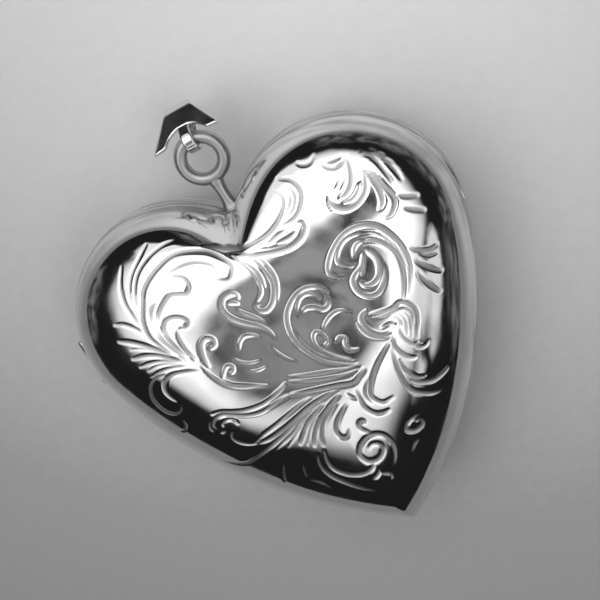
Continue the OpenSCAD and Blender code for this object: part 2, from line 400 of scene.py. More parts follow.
# Bail
# A strip of silver bent into a closed loop around the ring's wire, narrow all the way, with a leaf like
# an arrowhead soldered on its front. The leaf's wings reach down on both sides of the ring.
strip, bail_clear, chain_radius, bail_length = 0.35, 0.19, 0.8, 2.3
leaf_half, tongue_half, fold_half, leaf_top_half = 3, 0.5, 0.6, 0.87
wing_drop, leaf_gap, leaf_dome, leaf_proud = 0.5, 0.12, 0.14, 0.05
bail_droop = np.radians(48)
hold = wire_radius + bail_clear + strip / 2
fold = chain_radius + strip / 2
front_angle = np.pi / 2 + np.arcsin((fold - hold) / bail_length)
fold_top = bail_length + fold


def strip_section(flat_steps, edge_steps):
    """Section of the strip with round edges, in order around it: the share of the flat width, and the
    offsets across and outward in half thicknesses."""
    flat = np.linspace(-1, 1, flat_steps)
    edge = np.linspace(np.pi / 2, -np.pi / 2, edge_steps + 2)[1:-1]
    share = np.concatenate([flat, np.ones(edge_steps), -flat, -np.ones(edge_steps)])
    level = np.zeros(flat_steps)
    sideways = np.concatenate([level, np.cos(edge), level, -np.cos(edge)])
    outward = np.concatenate([level + 1, np.sin(edge), level - 1, -np.sin(edge)])
    return share, sideways, outward


def hung(across, along, above):
    """Points of the bail as it hangs: along its length and above its middle, turned down by its droop
    about the wire at the top of the ring."""
    y = ring_y + ring_radius - wire_radius + along * np.cos(bail_droop) + above * np.sin(bail_droop)
    z = ring_z + above * np.cos(bail_droop) - along * np.sin(bail_droop)
    return np.stack(np.broadcast_arrays(across, y, z), axis=2)


def round_path(middle, radius, start, end, steps):
    """Places on an arc about a middle on the bail's length, and their outward angles."""
    angle = np.linspace(start, end, steps)
    return middle + radius * np.cos(angle), radius * np.sin(angle), angle


def bail_loop():
    """The closed loop: an arc at the fold, an arc around the wire, and straight strands between, with
    the strip's section carried along them. It is a little wider at the fold."""
    arcs = zip(round_path(bail_length, fold, front_angle, -front_angle, 26),
               round_path(0, hold, -front_angle, front_angle - 2 * np.pi, 26))
    along, above, angle = (np.concatenate(pair)[:, None] for pair in arcs)
    half = tongue_half + (fold_half - tongue_half) * np.clip(along / fold_top, 0, 1)
    share, sideways, outward = strip_section(7, 5)
    lift = outward * strip / 2
    x = share * (half - strip / 2) + sideways * strip / 2
    return hung(x, along + lift * np.cos(angle), above + lift * np.sin(angle))


def bail_leaf():
    """The leaf: rows from its lower edge up the front strand and over the fold. The lower edge is the
    ring's outside moved out by a gap, or the wing tips' height where that is higher. The sides taper
    straight to the top of the fold, the lower edge is rounded, and the middle is domed."""
    share, sideways, outward = strip_section(25, 5)
    low_x = np.clip(abs(share) * leaf_half, tongue_half, leaf_half)
    round_y = np.sqrt(np.clip((ring_radius + leaf_gap)**2 - low_x**2, 0, None)) - ring_radius + wire_radius
    low = np.maximum(round_y, -wing_drop)
    rounding = np.linspace(0, np.pi / 2, 6)[:, None]
    rise = np.linspace(0, 1, 20)[1:, None]
    edge_rows = low + strip / 2 * (1 - np.cos(rounding))
    face_rows = edge_rows[-1] + (bail_length - edge_rows[-1]) * rise
    fold_along, fold_above, fold_turn = (
        values[1:, None] for values in round_path(bail_length, fold, front_angle, 0, 12))
    flat = np.concatenate([edge_rows, face_rows])
    fold_shape = len(fold_turn), len(share)
    along = np.concatenate([flat, np.broadcast_to(fold_along, fold_shape)])
    above = np.concatenate([hold + (fold - hold) * flat / bail_length,
                            np.broadcast_to(fold_above, fold_shape)])
    angle = np.concatenate([np.full((len(flat), 1), front_angle), fold_turn])
    thick = np.concatenate([np.sin(rounding), np.ones((len(along) - len(rounding), 1))])
    side = np.concatenate([-wing_drop + strip / 2 * (1 - np.cos(rounding)),
                           -wing_drop + (bail_length + wing_drop) * rise, fold_along])
    half = leaf_half + (leaf_top_half - leaf_half) * (side + wing_drop) / (fold_top + wing_drop)
    x = share * (half - strip / 2) + sideways * strip / 2
    lift = outward * thick * strip / 2 + leaf_proud - leaf_dome * (x / leaf_half)**2
    return hung(x, along + lift * np.cos(angle), above + lift * np.sin(angle))


loop, leaf = bail_loop(), bail_leaf()
loop_faces = wrapped_quads(*loop.shape[:2], 0)
number = loop.size // 3 + np.arange(leaf.size // 3).reshape(leaf.shape[:2])
leaf_faces = grid_quads(joined(number)).tolist()
points = np.concatenate([loop.reshape(-1, 3), leaf.reshape(-1, 3)])
bail_silver, _ = silver_material("bail_silver", 0.2)
bail = add_piece("bail_strip", points, [*loop_faces, *leaf_faces, number[-1].tolist()], bail_silver,
                 "bail_loop", "bail")
welded = bmesh.new()
welded.from_mesh(bail.data)
bmesh.ops.remove_doubles(welded, verts=welded.verts, dist=0.001 * millimetre)
welded.to_mesh(bail.data)
welded.free()

# Hinge
# Three short tubes of drawn silver, two soldered to the back half and the middle one to the lid, with
# a wire pin through them whose ends are burred over.
pin_radius, pin_clearance, knuckle_corner = 0.22, 0.02, 0.05


def rounded_box(low, high, corner, steps):
    """Outline of a rectangle between two corners, with a quarter circle at each of its corners."""
    quarter = np.linspace(0, np.pi / 2, steps)
    middles = [(high[0], high[1]), (low[0], high[1]), (low[0], low[1]), (high[0], low[1])]
    inward = corner * np.array([(-1, -1), (1, -1), (1, 1), (-1, 1)])
    arcs = [np.array(middle) + move + corner * np.stack([np.cos(quarter + k * np.pi / 2),
                                                        np.sin(quarter + k * np.pi / 2)], axis=1)
            for k, (middle, move) in enumerate(zip(middles, inward))]
    return np.concatenate(arcs)


hinge_silver, _ = silver_material("hinge_silver", 0.4)
section = rounded_box((pin_radius + pin_clearance, -knuckle_length / 2),
                      (knuckle_radius, knuckle_length / 2), knuckle_corner, 4)
tube = turned(section[::-1, 0], section[::-1, 1], 40)
for name, place, body in (("upper", 1, "case"), ("middle", 0, "lid"), ("lower", -1, "case")):
    points = tube.reshape(-1, 3) + [hinge_x, hinge_y + place * knuckle_pitch, seam_z]
    add_piece("knuckle_" + name, points, wrapped_quads(*tube.shape[:2], 0), hinge_silver, body,
              "hinge_knuckle_" + name)

pin_half = 1.5 * knuckle_pitch
burr = np.array([0.45, 0.75, 0.92, 1])
pin_profile = pin_radius * np.concatenate([burr, burr[::-1]])
pin_ends = np.array([0, 0.015, 0.04, 0.08])
pin_y = np.concatenate([pin_ends - pin_half, (pin_half - pin_ends)[::-1]])
points, faces = turned_bar(pin_profile, pin_y, 32)
add_piece("pin", points + [hinge_x, hinge_y, seam_z], faces, hinge_silver, "case", "hinge_pin")

# Front half
# The lid: the same pressing, with scrolls and acanthus leaves cut into it by hand with a graver, whose
# cuts swell in the middle. A thumbnail notch is filed into its edge opposite the hinge.
notch_depth, notch_radius = 0.3, 1.2
bold, fine, hair = 0.56, 0.42, 0.32
cut_share = 0.12

# Each cut: its greatest width, and the places that it runs through, measured from the crown
scrollwork = {
    "left lobe": [
        (bold, (-8.3, 3.1), (-9, 4), (-9.6, 5.2), (-9.45, 6.5), (-8.8, 7.7), (-7.8, 9), (-6, 9.9),
         (-4.2, 10.15), (-2.2, 9.4), (-1.2, 8.5), (-0.62, 7.5), (-1.2, 6.65), (-2.05, 6.95),
         (-2.15, 7.4)),
        (fine, (-6.5, 8.65), (-5.5, 9.15), (-4.2, 9.22), (-3, 8.95), (-2.05, 8.3), (-1.9, 7.8),
         (-2.15, 7.4)),
        (bold, (-8.2, 5.8), (-8, 6.5), (-7.3, 7.1), (-6.3, 7.6), (-5.5, 7.4), (-4.9, 7.18),
         (-4.4, 7.6), (-4.5, 8.35), (-5.2, 8.8), (-6, 8.95)),
        (fine, (-8.9, 6.2), (-8.5, 6.9), (-8, 7.4), (-7.5, 7.6)),
        (bold, (-8.3, 4.6), (-8.15, 5.4), (-7.7, 5.95), (-7, 6), (-6.3, 5.65), (-6, 5.15), (-6.4, 4.8),
         (-6.9, 5)),
        (fine, (-7.1, 4.9), (-7.35, 4.4), (-7.45, 3.5), (-7.3, 2.6), (-7.1, 2)),
        (fine, (-6.5, 5.8), (-5.8, 5.2)),
        (fine, (-9.9, 6.4), (-10, 7.6), (-10, 8.8), (-9.6, 10), (-8.8, 11.2)),
        (fine, (-9.6, 7.8), (-9.3, 8.9), (-8.5, 10.1), (-7.3, 11), (-6.1, 11.75)),
        (fine, (-9.4, 7), (-9, 8.6), (-8, 10), (-6.6, 10.8), (-5, 11.1), (-3.6, 10.95)),
    ],
    "left leaf": [
        (fine, (-11.9, 7.35), (-11.1, 7.1), (-10.4, 6.5), (-9.85, 5.7)),
        (bold, (-12.4, 6.05), (-11.4, 5.6), (-10.4, 4.9), (-9.5, 4.1), (-8.7, 3.2)),
        (bold, (-12.1, 4.25), (-11, 4.15), (-10, 3.8), (-9, 3.1), (-8.2, 2.4)),
        (hair, (-11.8, 5.05), (-10.8, 4.75), (-9.8, 4.1), (-8.9, 3.25)),
        (hair, (-11.4, 2.8), (-10.4, 2.95), (-9.4, 2.72), (-8.5, 2.2)),
        (fine, (-11.9, 3.4), (-10.8, 3.4), (-9.6, 3.1), (-8.4, 2.4)),
        (fine, (-11.5, 2.2), (-10.6, 2.4), (-9.4, 2.35), (-8.2, 1.95)),
        (fine, (-8.75, 5.6), (-8.7, 4.6), (-8.3, 3.6), (-7.7, 2.2)),
        (fine, (-8.05, 5.3), (-8.25, 4.6), (-8, 3.6), (-7.5, 2.5)),
        (bold, (-7.3, 1.1), (-8.4, 1.55), (-9.6, 1.78), (-10.5, 1.5), (-11, 0.8), (-10.95, 0.1),
         (-10.55, -0.6)),
        (bold, (-10.2, 2.1), (-11.3, 2), (-12.1, 1.4), (-12.6, 0.3), (-12.35, -0.9), (-11.6, -1.5),
         (-10.8, -1.3), (-10.4, -0.7)),
        (fine, (-11.4, -2.1), (-11.4, -2.75), (-11.8, -3.2), (-12.3, -3.3)),
    ],
    "left scroll": [
        (bold, (-9, -4.1), (-9.05, -3.6), (-8.5, -3.1), (-7.8, -3.05), (-7, -3.45), (-6, -3.95),
         (-4.8, -4.2), (-3.2, -4), (-2, -3.9)),
        (fine, (-9.4, -4.3), (-9.5, -3.7), (-9.1, -3.1)),
        (fine, (-8.4, -4.1), (-8.2, -3.75), (-7.7, -3.6), (-7.2, -3.85), (-7.1, -4.4)),
        (bold, (-8.7, -2.65), (-7.8, -2.75), (-6.9, -3.15), (-5.8, -3.5), (-4.2, -3.6), (-2.6, -3.25),
         (-1.6, -2.75)),
        (fine, (-8.45, -5.5), (-8.2, -5), (-7.9, -4.75)),
        (fine, (-8.2, -5.1), (-8.3, -5.5), (-8, -6), (-7.4, -6.4), (-6.6, -6.65)),
        (fine, (-9, -4.5), (-8.4, -4.5)),
        (bold, (-6.5, 1), (-6.5, 2), (-6.15, 3), (-5.5, 3.35), (-5, 3), (-5.15, 2.5), (-5.7, 2.45)),
        (fine, (-7, 1.5), (-6.7, 0.3), (-6.1, -0.8), (-5.2, -1.5), (-4, -2), (-3, -2.4)),
        (fine, (-6.3, -0.1), (-5.6, -1), (-4.6, -1.6), (-3.4, -2.2)),
        (fine, (-6.1, -0.3), (-5.7, 0.2), (-5.2, 0.55), (-4.8, 0.3), (-5, -0.1), (-5.4, -0.1)),
        (fine, (-3.6, 1.2), (-3.2, 1.8), (-2.6, 2.1), (-1.9, 1.85), (-1.5, 1.5)),
        (bold, (-1.4, 4.9), (-1.35, 5.35), (-1.8, 5.65), (-2.5, 5.55), (-2.95, 5), (-2.9, 4.3),
         (-2.5, 3.6), (-1.8, 2.9), (-1.1, 2.3), (-0.6, 1.5), (-0.5, 0.8)),
        (fine, (-2.4, 5.1), (-1.9, 4.9), (-1.5, 4.6)),
        (fine, (-2, 4.4), (-1.6, 3.8), (-1, 3.1), (-0.5, 2.4)),
    ],
    "cleft leaf": [
        (bold, (-2.2, 9.75), (-1.2, 9.15), (-0.3, 8.55), (0.8, 8.25), (2, 8.2), (3.2, 8.3),
         (4.3, 8.75), (5.2, 9.5), (5.45, 10.2), (5.05, 10.95)),
        (bold, (-0.6, 8.4), (0.4, 8), (1.3, 7.45), (2.3, 7.1), (3.3, 6.8), (4.4, 6.65), (5.4, 6.9),
         (6, 7.45), (5.9, 7.85), (5.4, 8.05)),
        (bold, (4.2, 8.3), (5.4, 8.35), (6.3, 8.85), (6.85, 9.6), (6.9, 10.3), (6.5, 11),
         (5.6, 11.45)),
        (fine, (4.6, 8.6), (5.7, 8.9), (6.3, 9.6), (6.4, 10.2), (6.1, 10.8)),
        (fine, (5.2, 9), (5.9, 9.6), (6, 10.2)),
        (fine, (3.4, 7.35), (4.4, 7.3), (5.2, 7.4)),
        (fine, (2.6, 7.6), (3.6, 7.85), (4.6, 7.9)),
        (hair, (1.6, 7.75), (2.6, 7.35), (3.8, 7.02), (4.9, 7.1)),
        (hair, (1.2, 8), (2, 7.9), (2.8, 7.95), (3.8, 8.15)),
        (fine, (-0.7, 8.4), (-0.1, 7.8), (0.35, 7), (0.65, 6.1), (0.72, 5.3), (0.45, 4.6), (-0.1, 4.2),
         (-0.5, 4.05)),
        (bold, (0.7, 7.8), (1.3, 6.9), (1.6, 5.9), (1.65, 5), (1.35, 4.2), (0.8, 3.5), (0.1, 3.15),
         (-0.4, 3.4), (-0.5, 3.85), (0, 3.85)),
        (fine, (0, 7.7), (0.6, 7), (0.98, 6.2), (1.05, 5.5), (0.9, 4.7)),
        (fine, (1.5, 7.3), (1.95, 6.3), (2.05, 5.2), (1.7, 4.2), (1.1, 3.3)),
    ],
    "right crest": [
        (fine, (7.5, 11.75), (7.9, 11.4), (8.5, 11.28), (9.1, 11.6)),
        (fine, (9.2, 11), (9.45, 10.45), (10, 10.05), (10.7, 10.1), (11.15, 10.5)),
        (fine, (9.5, 10.75), (10.2, 10.58), (10.9, 10.55)),
        (bold, (11.15, 10.4), (11, 9.5), (10.6, 8.6), (9.9, 8.1), (9.25, 8.02)),
        (hair, (10.65, 10.2), (10.5, 9.4), (10.15, 8.8), (9.6, 8.4)),
        (hair, (10.15, 10.1), (10, 9.4), (9.7, 8.95), (9.25, 8.7)),
        (bold, (11.75, 8.9), (11.6, 8.2), (11.2, 7.5), (10.4, 7.05), (9.5, 7.05), (8.8, 7.5),
         (8.55, 8.1), (8.62, 8.65)),
        (fine, (9.3, 7.6), (10.1, 7.5), (10.8, 7.85), (11.1, 8.3)),
        (bold, (11.8, 8.9), (12.05, 8.1), (12.2, 7.1), (12, 6.2), (11.5, 5.7)),
        (bold, (12, 9), (12.4, 8), (12.6, 7), (12.85, 6), (12.6, 5.4), (12, 5), (11.45, 5.1)),
        (fine, (12.2, 10.3), (12.9, 9), (13.2, 7.6), (13.25, 6.8)),
        (fine, (12.7, 10.4), (13.4, 9), (13.8, 7.6), (13.95, 6.6)),
        (bold, (13.1, 6), (13.7, 5.5), (14.5, 5.05)),
        (bold, (13.1, 4.9), (13.7, 4.35), (14.4, 3.8)),
        (bold, (12, 2), (12.5, 1.45), (13.2, 1.05), (13.9, 1)),
        (fine, (12.4, 1.3), (12.9, 0.7), (13.6, 0.4)),
        (bold, (11.9, 1), (12.2, 0.3), (12.7, -0.5), (13.2, -1.1)),
        (bold, (11.6, 0.1), (11.7, -0.8), (11.95, -1.7), (12.3, -2.5)),
    ],
    "right volute": [
        (bold, (10.3, -1.2), (10.9, -0.2), (11.45, 0.9), (11.62, 2.2), (11.4, 3.4), (10.8, 4.7),
         (9.7, 5.45), (8.4, 5.55), (7.3, 5.1), (6.4, 4.4), (5.85, 3.6), (6.1, 2.9), (6.7, 2.6)),
        (bold, (9.6, -1.4), (10.3, -0.3), (10.85, 0.9), (11, 2.2), (10.6, 3.3), (9.9, 4.05),
         (9.2, 4.3)),
        (fine, (9.9, 4.6), (9.2, 5), (8.3, 5.15), (7.5, 4.8), (6.9, 4.1), (7, 3.5), (7.5, 3.1),
         (8.1, 3.1)),
        (fine, (8.1, 3.6), (8.4, 4.1), (8.9, 4.4), (9.5, 4.2)),
        (fine, (7.9, 2), (8.4, 2.8), (8.9, 3.6)),
        (bold, (9.1, 3.7), (9.5, 3), (9.5, 2.2), (9.1, 1.4), (8.4, 1.05), (7.75, 1.25), (7.5, 1.75)),
        (bold, (9.75, 2.2), (9.5, 1.3), (8.9, 0.5), (8.2, 0.15), (7.5, 0.4), (7.05, 1.1), (7.1, 1.9),
         (7.5, 2.35), (8.2, 2.7), (8.9, 3.5)),
        (bold, (6.8, -0.9), (7.6, -1.2), (8.6, -1.42), (9.3, -1.3), (9.85, -1.8), (10.05, -2.5),
         (9.8, -3.3), (9.3, -4.1), (9, -4.8)),
        (fine, (6.9, -1.3), (7.7, -1.6), (8.7, -1.75), (9.4, -2), (9.7, -2.6), (9.4, -3.3),
         (8.9, -4.1)),
        (bold, (7, -0.5), (6.3, -0.8), (6.1, -1.4), (6.3, -2.3), (6.9, -2.95), (7.6, -3.1)),
        (fine, (5.7, -1), (5.75, -1.8), (6.1, -2.6), (6.8, -3.2), (7.5, -3.5)),
        (fine, (7.1, -2.4), (7.8, -2.4), (8.3, -2.7)),
        (bold, (7.5, -3.4), (7.3, -4.2), (7.4, -5), (7.7, -5.7), (8.2, -6.15)),
        (fine, (8.3, -3.2), (8.2, -4), (8.5, -4.9), (9, -5.4)),
        (hair, (9.3, -2.2), (9.35, -2.8), (9.05, -3.6), (8.75, -4.4)),
        (hair, (8.85, -2.1), (9, -2.7), (8.8, -3.4), (8.55, -4.1)),
        (hair, (8.4, -2.1), (8.62, -2.6), (8.5, -3.2)),
        (hair, (10.7, -0.4), (11.15, 0.9), (11.3, 2.2), (11, 3.3), (10.35, 4.35), (9.6, 4.9)),
        (fine, (8.9, -4.8), (8.7, -5.3), (9.2, -5.6), (9.7, -5.3)),
    ],
    "middle": [
        (bold, (4.8, 1.9), (4.85, 2.4), (4.3, 3.05), (3.3, 3.3), (2.2, 2.9), (1.3, 2.1), (0.8, 1),
         (0.75, -0.2), (1.1, -1.4), (1.8, -2.6), (2.9, -3.5), (4.1, -4.2)),
        (bold, (4.8, 1.9), (4.5, 1.25), (4, 1.15), (3.5, 1.6), (2.9, 1.85), (2.4, 1.7)),
        (fine, (2.1, 1.4), (2.2, 2.1), (2.8, 2.75), (3.5, 2.85), (4.1, 2.4), (4.15, 1.9)),
        (fine, (2.4, -1.15), (2.6, -1.5), (2.98, -1.3), (2.95, -0.6), (2.55, -0.2), (2.15, -0.5),
         (2, -1.2), (2.3, -2), (3, -2.9), (3.8, -3.6)),
        (fine, (3, -0.4), (3.6, 0.1), (4.4, 0.45), (5.2, 0.4), (5.8, -0.2)),
        (fine, (3.5, -1.7), (3.9, -1.45), (4.25, -1.75), (4.05, -2.25), (4.15, -2.8), (4.8, -3.1)),
        (hair, (1.15, 0.9), (1.1, -0.2), (1.45, -1.3), (2.1, -2.35), (3.1, -3.2), (4, -3.85)),
        (hair, (-4.4, 0.9), (-3.9, 0.3), (-3.2, -0.1), (-2.4, -0.2)),
        (hair, (-3.8, -0.6), (-3.1, -0.9), (-2.3, -0.9)),
        (hair, (-1.2, 0.6), (-1, -0.2), (-0.6, -1), (0, -1.7)),
        (fine, (-1.4, -2.4), (0, -3), (1.4, -3.5), (2.8, -4), (4.2, -4.3)),
        (fine, (-1.6, -2.8), (-0.3, -3.4), (1, -3.95), (2.5, -4.4), (4, -4.6)),
        (bold, (-2, -3.9), (-1, -4.2), (0.4, -4.6), (1.8, -5), (2.9, -5.35), (3.7, -5.05),
         (4.4, -4.7)),
    ],
    "lower leaf": [
        (fine, (-7.9, -6.2), (-7, -6.5), (-5.8, -6.1), (-4.6, -5.8), (-3.2, -5.4), (-1.8, -5.05),
         (-0.6, -4.9)),
        (bold, (-6.8, -6.65), (-5.5, -6.65), (-4, -6.35), (-2.6, -5.95), (-1.2, -5.55), (0.3, -5.35),
         (1.7, -5.3)),
        (bold, (-11, -7.1), (-10, -7.8), (-8.8, -8.15), (-7.2, -7.75), (-5.6, -7.25), (-4.2, -6.8),
         (-2.9, -6.3), (-1.6, -5.95)),
        (fine, (-5.9, -7.9), (-4.8, -7.45), (-3.6, -7), (-2.6, -6.4), (-1.5, -6), (-0.4, -5.75)),
        (fine, (-5.8, -9.2), (-6.5, -10.2), (-7.1, -11.2)),
        (bold, (-3.7, -8.3), (-3, -7.6), (-2.2, -6.85), (-1.2, -6.3), (0, -5.85)),
        (bold, (-2.75, -9), (-2.2, -8.1), (-1.4, -7.2), (-0.4, -6.6), (0.7, -6.05), (1.6, -5.7)),
        (bold, (-2.1, -9.4), (-1.7, -8.4), (-1, -7.4), (0, -6.75), (1, -6.2)),
        (hair, (-4.7, -8.05), (-3.7, -7.42), (-2.7, -6.75), (-1.6, -6.2)),
        (hair, (-3.2, -8.65), (-2.6, -7.85), (-1.8, -7.03), (-0.8, -6.45)),
        (bold, (1.6, -6.7), (0.8, -7.2), (0, -7.85), (-0.42, -8.6), (-0.35, -9.2), (0.1, -9.35),
         (0.55, -8.85)),
        (bold, (7.1, -3.75), (6.2, -4.3), (5.2, -5), (4.2, -6), (3.65, -6.9), (3.65, -7.5),
         (4.1, -8.1), (5.15, -8.1)),
        (fine, (4.3, -5.6), (3.5, -6.3), (3.2, -7), (3.3, -7.8)),
        (bold, (2.8, -6), (2.7, -7), (2.65, -7.8), (3, -8.6), (3.6, -8.92), (4.3, -8.95)),
        (fine, (2, -5.9), (2.2, -6.4), (2.5, -6.8)),
        (bold, (7, -4.3), (6.65, -5.6), (6.4, -7), (6.4, -8.2), (6.9, -9), (7.8, -9.7), (8.7, -9.95)),
        (bold, (7, -5.4), (6.98, -6.6), (7.3, -7.55), (7.9, -7.95)),
        (bold, (6.75, -7.4), (7.3, -8.1), (8.2, -8.6), (9.2, -8.6), (9.9, -8.3)),
    ],
    "tip scroll": [
        (bold, (1.7, -13.8), (2.4, -12.9), (2.78, -11.7), (2.5, -10.65), (1.6, -10.2), (0.6, -10.6),
         (0.1, -11.4), (0.3, -12.2), (1, -12.5), (1.75, -12.1), (1.95, -11.4), (1.4, -11),
         (0.85, -11.3)),
        (bold, (2.05, -9.05), (1.8, -8.68), (1.45, -8.85), (1.4, -9.4), (1.9, -10.1)),
        (bold, (-2.9, -9.6), (-3.3, -10.8), (-3.15, -12), (-2.5, -13.2), (-1.5, -14.5), (-0.3, -15.5)),
        (bold, (-2.15, -9.4), (-2.55, -10.6), (-2.45, -11.7), (-1.7, -12.65), (-0.7, -13.1),
         (0.2, -13), (0.6, -12.6)),
        (fine, (-4.5, -10), (-4.85, -10.9), (-5, -11.6)),
        (fine, (-5.2, -11.7), (-4.7, -12), (-4.3, -12.4), (-4.05, -12.9), (-3.8, -13.7)),
        (fine, (-0.4, -14), (0.3, -13.8), (0.8, -13.3)),
        (fine, (0.6, -13.7), (1.2, -14.3), (1, -14.9)),
        (bold, (6, -10.6), (5.3, -10.65), (4.6, -10.9), (4.4, -11.4), (4.9, -11.8), (5.6, -11.65),
         (5.7, -11.15), (5.2, -10.95)),
        (fine, (3.6, -13.5), (4.2, -12.9), (4.8, -12.7)),
    ],
}


def smooth_path(places, steps):
    """Smooth line through places: between two of them, a cubic whose direction at each is that of
    the line between its neighbours."""
    ends = np.concatenate([2 * places[:1] - places[1:2], places, 2 * places[-1:] - places[-2:-1]])
    before, start, end, after = (ends[k:len(ends) - 3 + k, None] for k in range(4))
    t = np.linspace(0, 1, steps, endpoint=False)[None, :, None]
    line = start + t / 2 * (end - before + t * (2 * before - 5 * start + 4 * end - after
                                                + t * (3 * start - before - 3 * end + after)))
    return np.concatenate([line.reshape(-1, 2), places[-1:]])


def cut_depth(plan, width, places):
    """Depth of one cut at each point of the plan: a rounded V across its path, which starts and ends
    fine and shallow, as the graver dips in and lifts out."""
    path = smooth_path(np.array(places), 8)
    near = np.all((plan > path.min(0) - width) & (plan < path.max(0) + width), axis=1)
    start, step = path[:-1], np.diff(path, axis=0)
    off = plan[near, None] - start
    along = np.clip((off * step).sum(2) / (step**2).sum(1), 0, 1)
    distance = np.linalg.norm(off - along[:, :, None] * step, axis=2)
    nearest = distance.argmin(1)
    row = np.arange(len(nearest))
    swell = np.sqrt(np.clip(np.sin(np.pi * (nearest + along[row, nearest]) / len(step)), 0, 1))
    across = np.clip(distance[row, nearest] / (width / 2 * (0.65 + 0.35 * swell)), 0, 1)
    depth = np.zeros(len(plan))
    depth[near] = cut_share * width * swell * np.cos(np.pi / 2 * across)**1.5
    return depth


def outward_normals(grid):
    """Unit normals of a grid of points: across the rows by along the columns."""
    normal = np.cross(np.gradient(grid, axis=1), np.gradient(grid, axis=0))
    return normal / np.linalg.norm(normal, axis=2, keepdims=True)


points, faces, grid_shape = shell_half(296, 6, 0.45)
outside = grid_shape[0] * grid_shape[1]
depth = np.zeros(outside)
for motif in scrollwork.values():
    for width, *places in motif:
        depth = np.maximum(depth, cut_depth(points[:outside, :2], width, places))
points[:outside] -= depth[:, None] * outward_normals(points[:outside].reshape(grid_shape)).reshape(-1, 3)
points[:, 2] += seam_z + seam_gap / 2
clear_hinge(points, (0,))
clear_bar(points, case_width / 2 + notch_radius - notch_depth, seam_z, notch_radius, hinge_y, case_width / 4)

# The lid's silver carries the same painted shade along the seam, and its cuts get real tarnish
engraved_silver, surface = silver_material("engraved_silver", 0, 0.7)
tree = engraved_silver.node_tree
cut = new_node(tree, "Attribute")
cut.attribute_name = "cut"
tree.links.new(remap(tree, cut.outputs["Fac"], 0.05, 0.7, 0.03, 0.65), surface.inputs["Tarnish"])
front_half = add_piece("front_half", points, faces, engraved_silver, "lid", "front_shell")
cut_mask = np.zeros(len(points), dtype=np.float32)
cut_mask[:outside] = depth / depth.max()
front_half.data.attributes.new("cut", "FLOAT", "POINT").data.foreach_set("value", cut_mask)

# Snap rim and photo frame
# Inside the lid, a band of thin silver that slips into the back half and holds it shut by friction,
# and within it a frame bent from strip, whose lip holds the window and the card.
rim_thickness, rim_reach, rim_clearance = 0.4, 0.7, 0.07
frame_thickness, lip_width, lip_thickness = 0.35, 0.9, 0.3
seat_z = seam_z + seam_gap / 2
band_top = seat_z + inside_edge
frame_z = seam_z - rim_reach / 3


def heart_loop(inset):
    """Whole outline of the heart, moved inward by inset: its right half and that half mirrored."""
    right = heart_side(inset)
    return np.concatenate([right, right[-2:0:-1] * [-1, 1]])


def heart_band(section):
    """Grid of points of a band around the heart: at each place of its section, given as inset and
    height, the outline at that inset."""
    loops = np.stack([heart_loop(inset) for inset in section[:, 0]])
    return np.concatenate([loops, np.broadcast_to(section[:, 1, None, None], (*loops.shape[:2], 1))], axis=2)


inner_silver, _ = silver_material("inner_silver", 0.1)
rim_out, rim_in = wall, wall + rim_thickness
rim_foot = seam_z - rim_reach
foot_radius = (rim_thickness - rim_clearance) / 2
foot = arc((rim_in - foot_radius, rim_foot + foot_radius), foot_radius, np.pi, 2 * np.pi, 8)
rim_section = np.concatenate([
    [(rim_out, band_top), (rim_out, seat_z), (rim_out + rim_clearance, seat_z)], foot, [(rim_in, band_top)]])
band = heart_band(rim_section)
add_piece("snap_rim_band", band.reshape(-1, 3), wrapped_quads(*band.shape[:2], 0), inner_silver, "lid",
          "snap_rim")

frame_in = rim_in + frame_thickness
lip_end = frame_in + lip_width - lip_thickness / 2
lip = arc((lip_end, frame_z + lip_thickness / 2), lip_thickness / 2, -np.pi / 2, np.pi / 2, 8)
frame_section = np.concatenate([
    [(rim_in, band_top), (rim_in, frame_z)], lip,
    [(lip_end, frame_z + lip_thickness), (frame_in, frame_z + lip_thickness), (frame_in, band_top)]])
band = heart_band(frame_section)
add_piece("photo_frame_band", band.reshape(-1, 3), wrapped_quads(*band.shape[:2], 0), inner_silver, "lid",
          "photo_frame")

# Window and card
# A clear sheet cut to the frame, with the faint scratches of years of wiping, and a blank card of
# fibrous, slightly yellowed paper behind it, which gets its light through the sheet. A hair of air
# lies between the two.
sheet_play, air_gap = 0.08, 0.02
window_thickness, card_thickness = 0.3, 0.25
window, tree, shader = new_material("clear_window")
shader.inputs["Transmission Weight"].default_value = 1
shader.inputs["IOR"].default_value = 1.47
place = new_node(tree, "TexCoord").outputs["Object"]
wipes = drawn_noise(tree, place, 0.7, (5000, 240, 900), 3)
tree.links.new(remap(tree, wipes, 0.5, 0.75, 0.02, 0.16), shader.inputs["Roughness"])
haze = toned(tree, wipes, (0, (0.97, 0.98, 0.97)), (1, (0.9, 0.92, 0.9)))
tree.links.new(haze, shader.inputs["Base Color"])
shadow = remap(tree, new_node(tree, "LightPath").outputs["Is Shadow Ray"], 0, 1, 1, 0.1)
tree.links.new(shadow, shader.inputs["Alpha"])

paper, tree, shader = new_material("card_paper")
shader.inputs["Roughness"].default_value = 0.85
place = new_node(tree, "TexCoord").outputs["Object"]
fibres, stains = noise(tree, place, 4200, 6, 0.7), noise(tree, place, 90, 3)
mottle = calculate(tree, "ADD", calculate(tree, "MULTIPLY", fibres, 0.35),
                   calculate(tree, "MULTIPLY", stains, 0.65))
yellowed = toned(tree, mottle, (0.3, (0.68, 0.63, 0.53)), (0.7, (0.86, 0.83, 0.76)))
tree.links.new(yellowed, shader.inputs["Base Color"])
grain = new_node(tree, "Bump", Height=fibres, Strength=0.4, Distance=0.03 * millimetre)
tree.links.new(grain.outputs["Normal"], shader.inputs["Normal"])

